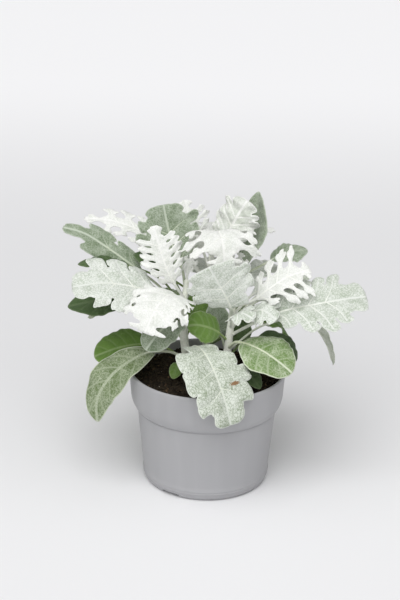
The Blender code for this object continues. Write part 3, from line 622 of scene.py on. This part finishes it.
def ribOf(spec):
    # the rib's points, the length up to each and its direction there
    knots = [Vector(point) for point in spec["path"]]
    if spec["height"] == "tip":
        knots.insert(0, Vector(stems[spec["stem"]][-1][:3]))
    else:
        centre, radius = stemAt(spec["stem"], spec["height"])
        out = ((knots[0] - centre) * Vector((1, 1, 0))).normalized()
        knots.insert(0, centre + out * (radius - 0.4))
    points = hermite(knots, blade["ribSteps"])
    lengths = [0]
    for a, b in zip(points, points[1:]):
        lengths.append(lengths[-1] + (b - a).length)
    ways = []
    for i in range(len(points)):
        ways.append((points[min(i + 1, len(points) - 1)] - points[max(i - 1, 0)]).normalized())
    return points, lengths, ways


def envelope(u, form):
    power = math.log(0.5) / math.log(form["widest"])
    return math.sin(math.pi * min(max(u, 0), 1) ** power) ** form["full"]


def lobeEdge(first, last, tip, aside, form, vary):
    # the edge of one lobe between the corners of its foot, each a little unlike the next
    foot = (first + last) / 2
    points = [first]
    for count, (reach, side) in enumerate(form["edge"]):
        reach *= wavy(blade["lobeReach"], count, vary)
        side *= wavy(blade["lobeWidth"], count, vary)
        points.append(foot + (tip - foot) * reach + aside * side)
    return points + [last]


def rounded(points, times):
    # cuts the corners off a line of points
    for _ in range(times):
        softer = [points[0]]
        for a, b in zip(points, points[1:]):
            softer += [a.lerp(b, 0.25), a.lerp(b, 0.75)]
        points = softer + [points[-1]]
    return points


def halfOutline(spec, length, side):
    # one half of the blade from its foot to its last cut, and the veins to its lobes
    form, half, petiole = spec["form"], spec["half"], spec["petiole"]
    span = (form["crown"] - form["start"]) / form["lobes"]
    aside = Vector((form["head"] * span * length / 2, 0))

    def forward(point):
        share = 1 - ((point.x - petiole) / length) ** blade["leanFade"]
        return Vector((point.x + form["lean"] * share * (point.y - blade["footHalf"]), point.y))

    points, veins = [], []
    for i in range(form["lobes"]):
        u = form["start"] + span * (i + 0.5 + blade["sideShift"] * side)
        corners = []
        for corner in (u - span * (1 - form["gap"]) / 2, u + span * (1 - form["gap"]) / 2):
            across = half * envelope(corner, form) * (1 - form["depth"])
            corners.append(Vector((petiole + corner * length, max(across, blade["leastFoot"]))))
        reach = half * max(envelope(u, form), blade["leastReach"])
        tip = Vector((petiole + u * length, reach * wavy(blade["lobeLength"], i, side, spec["seed"])))
        points += lobeEdge(*corners, tip, aside, form, i + side + spec["seed"])
        foot = Vector((max(tip.x - blade["veinBack"] * span * length, petiole + 1), 0))
        veins.append([foot, Vector((tip.x, tip.y * blade["veinBend"])), tip])
    veins = [[line[0]] + [forward(point) for point in line[1:]] for line in veins]
    return [forward(point) for point in points], veins


def plainHalf(spec, length, side):
    # one half of a blade without lobes, a little wavy, and its side veins
    form, half, petiole, seed = spec["form"], spec["half"], spec["petiole"], spec["seed"]
    points, veins = [], []
    for step in range(1, blade["edgeSteps"]):
        u = (1 - math.cos(math.pi * step / blade["edgeSteps"])) / 2
        ripple = wavy(blade["edgeWave"], u, seed, side) + wavy(blade["edgeTeeth"], u, seed * side) - 1
        points.append(Vector((petiole + u * length, half * envelope(u, form) * ripple)))
    count, (first, shift), (run, more) = form["veins"], blade["plainFoot"], blade["plainRun"]
    for i in range(count):
        foot = (i + first + shift * side) / count
        end = foot + run / count + more
        out = half * envelope(end, form)
        veins.append([Vector((petiole + foot * length, 0)),
                      Vector((petiole + (foot + end) / 2 * length - 1, out / 2)),
                      Vector((petiole + end * length, out))])
    return points, veins


def outlineOf(spec, length):
    # the blade laid flat, as (along, across), and its side veins
    form, petiole = spec["form"], spec["petiole"]
    sides, veins = [], []
    for side in (-1, 1):
        edge, found = (halfOutline if form["lobes"] else plainHalf)(spec, length, side)
        foot = [Vector((petiole - blade["footBack"], blade["footHalf"] * blade["footShare"])),
                Vector((petiole, blade["footHalf"]))]
        sides.append([Vector((point.x, point.y * side)) for point in foot + edge])
        veins += [[Vector((point.x, point.y * side)) for point in line] for line in found]
    crown = [Vector((petiole + length, 0))]
    if form["lobes"]:
        step = Vector((blade["crownStep"] * length, 0))
        first, last = (points[-1] + step for points in sides)
        crown = lobeEdge(first, last, crown[0], Vector((0, last.y * form["top"])), form, spec["seed"])
    return rounded(sides[0] + crown + sides[1][::-1], 2), veins


def branchesOf(veins):
    # thin veins that leave the side veins on both hands
    branches = []
    for a, b, c in veins:
        run = c - b
        aside = Vector((-run.y, run.x))
        for share, way in blade["branches"]:
            foot = b + run * share
            tip = foot + run * blade["branchRun"] + aside * blade["branchOut"] * way
            branches.append([foot, tip])
    return branches


def veinLine(line):
    # a side vein through three points, thinning out short of the edge
    return rounded([line[0], line[1], line[1].lerp(line[2], ribLook["veinEnd"])], 2)


def distanceTo(points, lines):
    # shortest way from each flat point to any of the lines, in millimetres
    points = np.array(points)
    best = np.full(len(points), 99.0)
    for line in lines:
        line = np.array(line)
        for a, b in zip(line, line[1:]):
            along = b - a
            share = np.clip((points - a) @ along / max(along @ along, 1e-9), 0, 1)
            best = np.minimum(best, np.linalg.norm(points - a - share[:, None] * along, axis=1))
    return best


def frameAt(spec, rib, along):
    points, lengths, ways = rib
    along = min(max(along, 0), lengths[-1])
    i = int(np.searchsorted(lengths, along))
    i = min(max(i, 1), len(lengths) - 1)
    share = (along - lengths[i - 1]) / (lengths[i] - lengths[i - 1])
    place = points[i - 1].lerp(points[i], share)
    forward = ways[i - 1].lerp(ways[i], share).normalized()
    if spec["heading"] is None:
        run = points[-1] - points[0]
        ahead = Vector((run.x, run.y, 0)).normalized()
    else:
        heading = math.radians(spec["heading"])
        ahead = Vector((math.cos(heading), math.sin(heading), 0))
    sideways = ahead.cross(up)
    sideways = (sideways - forward * sideways.dot(forward)).normalized()
    start, end = spec["roll"] if isinstance(spec["roll"], tuple) else (spec["roll"], spec["roll"])
    turn = Matrix.Rotation(-math.radians(start + (end - start) * along / lengths[-1]), 3, forward)
    sideways = turn @ sideways
    return place, sideways, sideways.cross(forward)


def onLeaf(spec, rib, along, across, raised=0.0):
    # place on the bent blade of a point of the flat leaf, raised off it by some millimetres
    place, sideways, normal = frameAt(spec, rib, along)
    length = rib[1][-1] - spec["petiole"]
    u = (along - spec["petiole"]) / length
    if u <= 0:
        return place + sideways * across + normal * raised
    easing = min(u / blade["foldStart"], 1)
    start = math.radians(spec["fold"]) * easing
    bend = math.radians(spec["curl"]) / spec["half"] * easing
    reach = abs(across)
    if abs(bend) < 1e-6:
        run, lift = reach * math.cos(start), reach * math.sin(start)
    else:
        run = (math.sin(start + bend * reach) - math.sin(start)) / bend
        lift = (math.cos(start) - math.cos(start + bend * reach)) / bend
    side = math.copysign(1, across)
    out = (reach / spec["half"]) ** 2
    lift += spec["wave"] * out * math.sin(math.tau * spec["waves"] * u + spec["seed"] + side)
    lift += blade["ruffle"] * out * math.sin(math.tau * blade["ruffles"] * u + 2 * spec["seed"] + side)
    if spec["form"]["sway"]:
        back = blade["swayLean"] * out * spec["half"] / length
        lobes = (u - back) * spec["form"]["lobes"] / spec["form"]["crown"]
        lift += spec["form"]["sway"] * out * math.sin(math.tau * lobes + side)
    return place + sideways * run * side + normal * (lift + raised)


def cutBlade(outline, petiole, total):
    # the flat blade, cut into facets
    bm = bmesh.new()
    bm.faces.new([bm.verts.new((point.x, point.y, 0)) for point in outline])
    cell = blade["cell"]
    wide = max(point.y for point in outline)
    cuts = [((0, 0, 0), (0, 1, 0))]
    for step in range(1, int(wide / cell) + 1):
        cuts += [((0, step * cell, 0), (0, 1, 0)), ((0, -step * cell, 0), (0, 1, 0))]
    cuts += [((petiole + step * cell, 0, 0), (1, 0, 0)) for step in range(int((total - petiole) / cell))]
    for place, normal in cuts:
        bmesh.ops.bisect_plane(bm, geom=bm.verts[:] + bm.edges[:] + bm.faces[:],
                               dist=blade["snap"] * cell, plane_co=place, plane_no=normal)
    bmesh.ops.triangulate(bm, faces=[face for face in bm.faces if len(face.verts) > 4])
    bmesh.ops.reverse_faces(bm, faces=bm.faces)
    return bm


def bendBlade(bm, spec, rib, outline, veinLines, branches):
    # masks for the material on each point, a flat UV map in cm, then the blade bent into place
    flat = [(vert.co.x, vert.co.y) for vert in bm.verts]
    fromRib = distanceTo(flat, [[(0, 0), (rib[1][-1], 0)]])
    fromVein = np.minimum(fromRib, distanceTo(flat, veinLines))
    fromBranch = distanceTo(flat, branches)
    fromEdge = distanceTo(flat, [outline + outline[:1]])
    uvLayer = bm.loops.layers.uv.new("Flat")
    shift = spec["seed"] * blade["patternShift"][0] + len(spec["path"]) * blade["patternShift"][1]
    for face in bm.faces:
        for loop in face.loops:
            loop[uvLayer].uv = (loop.vert.co.x / 10 + shift, loop.vert.co.y / 10)
    names = ("rib", "vein", "edge", "tone", "spot", "streaks")
    layers = {name: bm.verts.layers.float.new(name) for name in names}
    group, rim = bm.verts.layers.deform.new(), blade["rimShare"]
    for i, vert in enumerate(bm.verts):
        along, across = flat[i]
        vert[layers["rib"]] = fromRib[i]
        vert[layers["vein"]] = min(blade["veinFade"] * fromVein[i],
                                   blade["branchFade"] * fromBranch[i] + blade["branchStart"])
        vert[layers["edge"]] = fromEdge[i]
        vert[layers["tone"]] = spec["tone"]
        vert[layers["streaks"]] = spec["streaks"]
        if spec["damage"]:
            x, y, long, wide = spec["damage"]
            vert[layers["spot"]] = max(0, 1 - math.hypot((along - x) / long, (across - y) / wide) / 2)
        puff = 1 - math.exp(-fromVein[i] / blade["puffWidth"])
        puff *= min(fromEdge[i] / blade["calmEdge"], 1)
        crease = noise.noise(Vector((along, across, 10 * spec["seed"])) / blade["creaseSize"])
        crease *= min(fromVein[i] / blade["calmEdge"], 1)
        raised = spec["relief"] * puff + spec["crumple"] * crease
        vert.co = onLeaf(spec, rib, along, across, raised) * mm
        vert[group][0] = min(1, rim + (1 - rim) * fromEdge[i] / blade["rimWidth"])


def addLeaf(spec):
    rib = ribOf(spec)
    total = rib[1][-1]
    outline, veins = outlineOf(spec, total - spec["petiole"])
    veinLines = [veinLine(line) for line in veins]
    bm = cutBlade(outline, spec["petiole"], total)
    bendBlade(bm, spec, rib, outline, veinLines, branchesOf(veins))
    made = addPiece(f"{spec['name']}_felted", bm, leafMaterials[spec["finish"]],
                    leafFinishes[spec["finish"]]["slot"], spec["name"])
    made.vertex_groups.new(name="Thick")
    solid = made.modifiers.new("Thickness", "SOLIDIFY")
    solid.thickness = blade["thick"] * mm
    solid.offset = 0
    solid.vertex_group = "Thick"
    solid.material_offset = 1
    solid.material_offset_rim = 1
    graph = bpy.context.evaluated_depsgraph_get()
    mesh = bpy.data.meshes.new_from_object(made.evaluated_get(graph))
    made.modifiers.clear()
    bm = bmesh.new()
    bm.from_mesh(mesh)
    addRibs(bm, spec, rib, veinLines)
    bm.to_mesh(made.data)
    bm.free()
    bpy.data.meshes.remove(mesh)
    made.data.shade_smooth()
    made.vertex_groups.clear()


def addRibs(bm, spec, rib, veinLines):
    # leaf stalk and midrib in one tapering round stem, and the side veins of a leaf with lobes
    total, petiole = rib[1][-1], spec["petiole"]
    size = min(1, ribLook["leastSize"] + spec["half"] / ribLook["fullHalf"])
    points, radii = [], []
    steps = int(total / ribLook["step"])
    for step in range(steps + 1):
        along = total * ribLook["end"] * step / steps
        share = max(0, (along - petiole) / (total - petiole))
        radius = ribLook["foot"] + (ribLook["tip"] - ribLook["foot"]) * share ** ribLook["taper"]
        radius *= size
        if along < ribLook["flareLength"]:
            radius *= 1 + ribLook["flare"] * (1 - along / ribLook["flareLength"]) ** 2
        sink = -ribLook["sink"] * radius * min(1, share * ribLook["sinkRate"])
        points.append(onLeaf(spec, rib, along, 0, sink) * mm)
        radii.append(radius * mm)
    sweep(bm, points, radii, ribLook["sides"], 2)
    for line in veinLines if spec["form"]["lobes"] else []:
        points, radii = [], []
        for i, point in enumerate(line):
            t = i / (len(line) - 1)
            radius = (ribLook["veinFoot"] + (ribLook["veinTip"] - ribLook["veinFoot"]) * t) * size
            points.append(onLeaf(spec, rib, point.x, point.y, ribLook["veinRise"] * radius) * mm)
            radii.append(radius * mm)
        sweep(bm, points, radii, ribLook["veinSides"], 2)


for spec in leaves:
    addLeaf(spec)
print("leaves made:", len(leaves))


# stems: round, a little bent, with low rings where old leaves grew
stemLook = {"sides": 16, "steps": 16, "ring": 0.06, "ringStep": 9, "ringWidth": 0.09, "tip": 1.5,
            "tipShare": 0.35}


def addStem(name):
    knots = [Vector(point[:3]) for point in stems[name]]
    places, radii = [], []
    for point in hermite(knots, stemLook["steps"]):
        radius = stemAt(name, min(point.z, knots[-1].z))[1]
        near = (point.z % stemLook["ringStep"]) / stemLook["ringStep"]
        radius *= 1 + stemLook["ring"] * math.exp(-((near - 0.5) / stemLook["ringWidth"]) ** 2)
        places.append(point * mm)
        radii.append(radius * mm)
    places.append((knots[-1] + (knots[-1] - knots[-2]).normalized() * stemLook["tip"]) * mm)
    radii.append(radii[-1] * stemLook["tipShare"])
    bm = bmesh.new()
    sweep(bm, places, radii, stemLook["sides"])
    addPiece(f"{name}_felted", bm, [stemFelt], "stem_felt", name)


for name in stems:
    addStem(name)
print("stems made")


# Pot: outside from the middle of the base up to the lip, then the inside down again, in mm
pot = {
    "steps": 144,
    "outside": [(0, 0), (20, 0), (20.8, 0.4), (22.6, 2.7), (23.4, 3), (37.6, 3), (38.4, 2.6), (40, 0.4),
                (40.8, 0), (44.6, 0), (46, 0.5), (47.2, 1.6), (48, 3.6), (48.3, 5), (48.75, 5.5),
                (48.85, 6.2), (48.55, 6.8), (48.95, 7.4), (49, 8.1), (48.6, 8.8), (48.75, 12),
                (53.1, 57), (53.2, 58.4), (52.9, 59.2), (53.2, 59.9), (54.5, 60.2), (55.2, 61),
                (56.3, 63), (57.2, 65), (57.9, 67.3), (58.4, 70), (59.55, 87.4), (59.6, 88.6),
                (59.45, 89.5), (58.9, 90), (58.2, 90), (57.8, 89.7), (57.6, 89)],
    "inside": [(57.2, 87), (56.9, 70), (55.6, 66.2), (52.3, 60.5), (47.3, 9), (46.3, 5.2),
               (41.8, 1.6), (40.8, 1.6), (38.8, 4.5), (22.2, 4.5), (19.2, 1.6), (0, 1.6)],
    "holes": 6, "holeRadius": 3, "holeCircle": 30.5, "holeDepth": 12, "holeSides": 32,
    "notchTurns": (236, 56), "notchSize": (16, 15, 6.4), "notchMiddle": 50.6, "notchRound": 1,
    "sharp": 40,
}


def spun(profile, steps):
    # a profile of (radius, height) turned once round the Z axis
    bm = bmesh.new()
    verts = [bm.verts.new((radius * mm, 0, height * mm)) for radius, height in profile]
    edges = [bm.edges.new(pair) for pair in zip(verts, verts[1:])]
    bmesh.ops.spin(bm, geom=verts + edges, cent=(0, 0, 0), axis=(0, 0, 1), angle=math.tau,
                   steps=steps, use_merge=True)
    bmesh.ops.remove_doubles(bm, verts=bm.verts, dist=0.01 * mm)
    bmesh.ops.recalc_face_normals(bm, faces=bm.faces)
    return bm


def addPot():
    made = addPiece("pot_moulded", spun(pot["outside"] + pot["inside"], pot["steps"]), [potPlastic],
                    "pot_plastic", "pot")
    cutters = []
    radius, circle = pot["holeRadius"] * mm, pot["holeCircle"]
    for count in range(pot["holes"]):
        turn = math.tau * count / pot["holes"]
        bm = bmesh.new()
        bmesh.ops.create_cone(bm, cap_ends=True, segments=pot["holeSides"], radius1=radius,
                              radius2=radius, depth=pot["holeDepth"] * mm)
        bmesh.ops.translate(bm, verts=bm.verts,
                            vec=(circle * math.cos(turn) * mm, circle * math.sin(turn) * mm, 0))
        cutters.append(bm)
    for degrees in pot["notchTurns"]:
        bm = bmesh.new()
        bmesh.ops.create_cube(bm, size=1)
        bmesh.ops.scale(bm, verts=bm.verts, vec=[length * mm for length in pot["notchSize"]])
        bmesh.ops.bevel(bm, geom=bm.edges[:], offset=pot["notchRound"] * mm, affect="EDGES", segments=3,
                        profile=0.5, material=-1)
        bmesh.ops.translate(bm, verts=bm.verts, vec=(pot["notchMiddle"] * mm, 0, 0))
        bmesh.ops.rotate(bm, verts=bm.verts, matrix=Matrix.Rotation(math.radians(degrees), 3, "Z"))
        cutters.append(bm)
    tools = [addObject("Cutter", meshOf("Cutter", bm)) for bm in cutters]
    for tool in tools:
        hole = made.modifiers.new("Hole", "BOOLEAN")
        hole.operation = "DIFFERENCE"
        hole.object = tool
        hole.solver = "EXACT"
    graph = bpy.context.evaluated_depsgraph_get()
    made.data = bpy.data.meshes.new_from_object(made.evaluated_get(graph))
    made.modifiers.clear()
    for tool in tools:
        bpy.data.objects.remove(tool)
    made.data.shade_smooth()
    made.data.set_sharp_from_angle(angle=math.radians(pot["sharp"]))


addPot()
print("pot made")


# Soil: its sides inside the pot as (radius, height), its mounded top, and the bumps as (width, height)
soil = {
    "sides": [(0, 1.9), (18.6, 1.9), (21.6, 4.8), (39.2, 4.8), (45.2, 4.8), (46.9, 9.2), (51.9, 60.7),
              (55.1, 66.2), (56.4, 70), (56.5, 81.5)],
    "top": 82.5, "mound": 2.0, "edge": 51, "rings": 57, "steps": 150,
    "bumps": [(11, 1.6), (3.1, 0.7), (1.3, 0.35)],
}


def soilHeight(x, y):
    out = min(math.hypot(x, y) / soil["edge"], 1)
    place = Vector((x, y, 4))
    bumps = sum(noise.noise(place / width) * height for width, height in soil["bumps"])
    return soil["top"] + soil["mound"] * (1 - out ** 2) + bumps


def addSoil():
    rings = [(radius, soil["top"]) for radius in range(soil["rings"])]
    bm = spun(rings + soil["sides"][::-1], soil["steps"])
    for vert in bm.verts:
        if vert.co.z > (soil["top"] - 0.1) * mm:
            vert.co.z = soilHeight(vert.co.x / mm, vert.co.y / mm) * mm
    addPiece("soil_surface", bm, [pottingSoil], "potting_soil", "soil")


# Loose bits on the soil. sorts: how many, their sizes, how long they can be and how thick they are as
# shares of their width, the material and the seed
bits = {
    "reach": 56.3, "least": 0.6, "rough": 0.22, "short": 0.8, "tilt": 0.7, "lift": (-0.1, 0.6),
    "batch": 50, "sharp": 35,
    "sorts": {"soil_crumbs": (2600, (0.5, 1.7), 1.3, 0.8, pottingSoil, 11),
              "soil_chips": (160, (0.6, 1.5), 3.2, 0.5, bark, 12),
              "soil_specks": (46, (0.35, 0.9), 1.3, 0.9, perlite, 13)},
}


def addBit(bm, draw, sizes, long, thick):
    # one broken lump, half sunk in the soil
    rough, tilt = bits["rough"], bits["tilt"]
    radius = bits["reach"] * math.sqrt(draw.random())
    turn = draw.random() * math.tau
    x, y = radius * math.cos(turn), radius * math.sin(turn)
    size = draw.uniform(*sizes) * draw.uniform(bits["least"], 1)
    verts = bmesh.ops.create_icosphere(bm, subdivisions=1, radius=1)["verts"]
    for vert in verts:
        vert.co *= 1 + draw.uniform(-rough, rough)
    shape = Matrix.Diagonal((size * draw.uniform(bits["short"], long), size, size * thick, 1))
    turns = Matrix.Rotation(draw.uniform(-tilt, tilt), 4, "X") @ Matrix.Rotation(
        draw.uniform(-tilt, tilt), 4, "Y") @ Matrix.Rotation(draw.random() * math.tau, 4, "Z")
    height = soilHeight(x, y) + size * thick * draw.uniform(*bits["lift"])
    place = Matrix.Translation((x, y, height))
    bmesh.ops.transform(bm, verts=verts, matrix=Matrix.Scale(mm, 4) @ place @ turns @ shape)


def scatter(name, count, sizes, long, thick, material, seed):
    # bits over the whole of the soil, made a few at a time and then joined
    draw = random.Random(seed)
    whole = bmesh.new()
    for first in range(0, count, bits["batch"]):
        few = bmesh.new()
        for _ in range(min(bits["batch"], count - first)):
            addBit(few, draw, sizes, long, thick)
        mesh = meshOf("Bits", few)
        whole.from_mesh(mesh)
        bpy.data.meshes.remove(mesh)
    made = addPiece(name, whole, [material], "potting_soil")
    made.data.set_sharp_from_angle(angle=math.radians(bits["sharp"]))


addSoil()
for name, sort in bits["sorts"].items():
    scatter(name, *sort)
print("soil made")


# Studio: pale floor with painted shade in a darker band and painted light on its far part, as a
# backdrop's light and shade; soft light from above and a little from the left, and the camera
studio = {
    "floorSize": 16.0, "floorNear": srgb(237, 237, 238), "floorPaintedShadeBand": srgb(225, 225, 226),
    "floorFarPaintedLight": srgb(245, 245, 246), "bandStart": (-0.1, 0.25), "bandEnd": (0.5, 1.5),
    "worldColour": (1.0, 1.0, 1.01, 1), "worldFrom": (0, -0.6, 0.8), "worldRange": (-0.1, 1.0),
    "worldStrength": (0.14, 0.83),
    "sunFrom": (-0.16, -0.55, 0.86), "sunStrength": 1.78, "sunAngle": 55,
}
view = {"pitch": 20.53, "roll": 1.10, "distance": 1050, "aim": (-6.68, 0, 144.73), "lens": 83.85}


def addStudio():
    bm = bmesh.new()
    bmesh.ops.create_grid(bm, x_segments=1, y_segments=1, size=studio["floorSize"] / 2)
    floor = addObject("Floor", meshOf("Floor", bm))
    made, tree, shader = newMaterial("Floor", {"Roughness": 0.7, "Specular IOR Level": 0.2})
    place = add(tree, "ShaderNodeTexCoord").outputs["Object"]
    away = add(tree, "ShaderNodeSeparateXYZ", None, {0: place}).outputs["Y"]
    # floor colour by distance: the near colour, then a darker band of painted shade, then a lighter far
    # part of painted light
    colour = mixColours(tree, fade(tree, away, *studio["bandStart"]), studio["floorNear"],
                        studio["floorPaintedShadeBand"])
    link(tree, mixColours(tree, fade(tree, away, *studio["bandEnd"]), colour, studio["floorFarPaintedLight"]),
         shader, "Base Color")
    floor.data.materials.append(made)
    world = bpy.data.worlds.new("Studio")
    scene.world = world
    world.use_nodes = True
    tree = world.node_tree
    way = add(tree, "ShaderNodeTexCoord").outputs["Generated"]
    bright = add(tree, "ShaderNodeVectorMath", {"operation": "DOT_PRODUCT"},
                 {0: way, 1: studio["worldFrom"]}).outputs["Value"]
    bright = fade(tree, bright, *studio["worldRange"], *studio["worldStrength"])
    sky = tree.nodes["Background"]
    sky.inputs["Color"].default_value = studio["worldColour"]
    link(tree, bright, sky, "Strength")
    lamp = bpy.data.lights.new("Window", "SUN")
    lamp.energy = studio["sunStrength"]
    lamp.angle = math.radians(studio["sunAngle"])
    window = addObject("Window", lamp)
    window.rotation_euler = Vector(studio["sunFrom"]).to_track_quat("Z", "Y").to_euler()


def addCamera():
    data = bpy.data.cameras.new("Camera")
    data.lens = view["lens"]
    camera = addObject("Camera", data)
    pitch = Matrix.Rotation(math.radians(90 - view["pitch"]), 4, "X")
    roll = Matrix.Rotation(math.radians(view["roll"]), 4, "Z")
    back = Matrix.Translation((0, 0, view["distance"] * mm))
    camera.matrix_world = Matrix.Translation(Vector(view["aim"]) * mm) @ pitch @ roll @ back
    scene.camera = camera


addStudio()
addCamera()
scene.view_settings.view_transform = "Standard"
print("studio made")
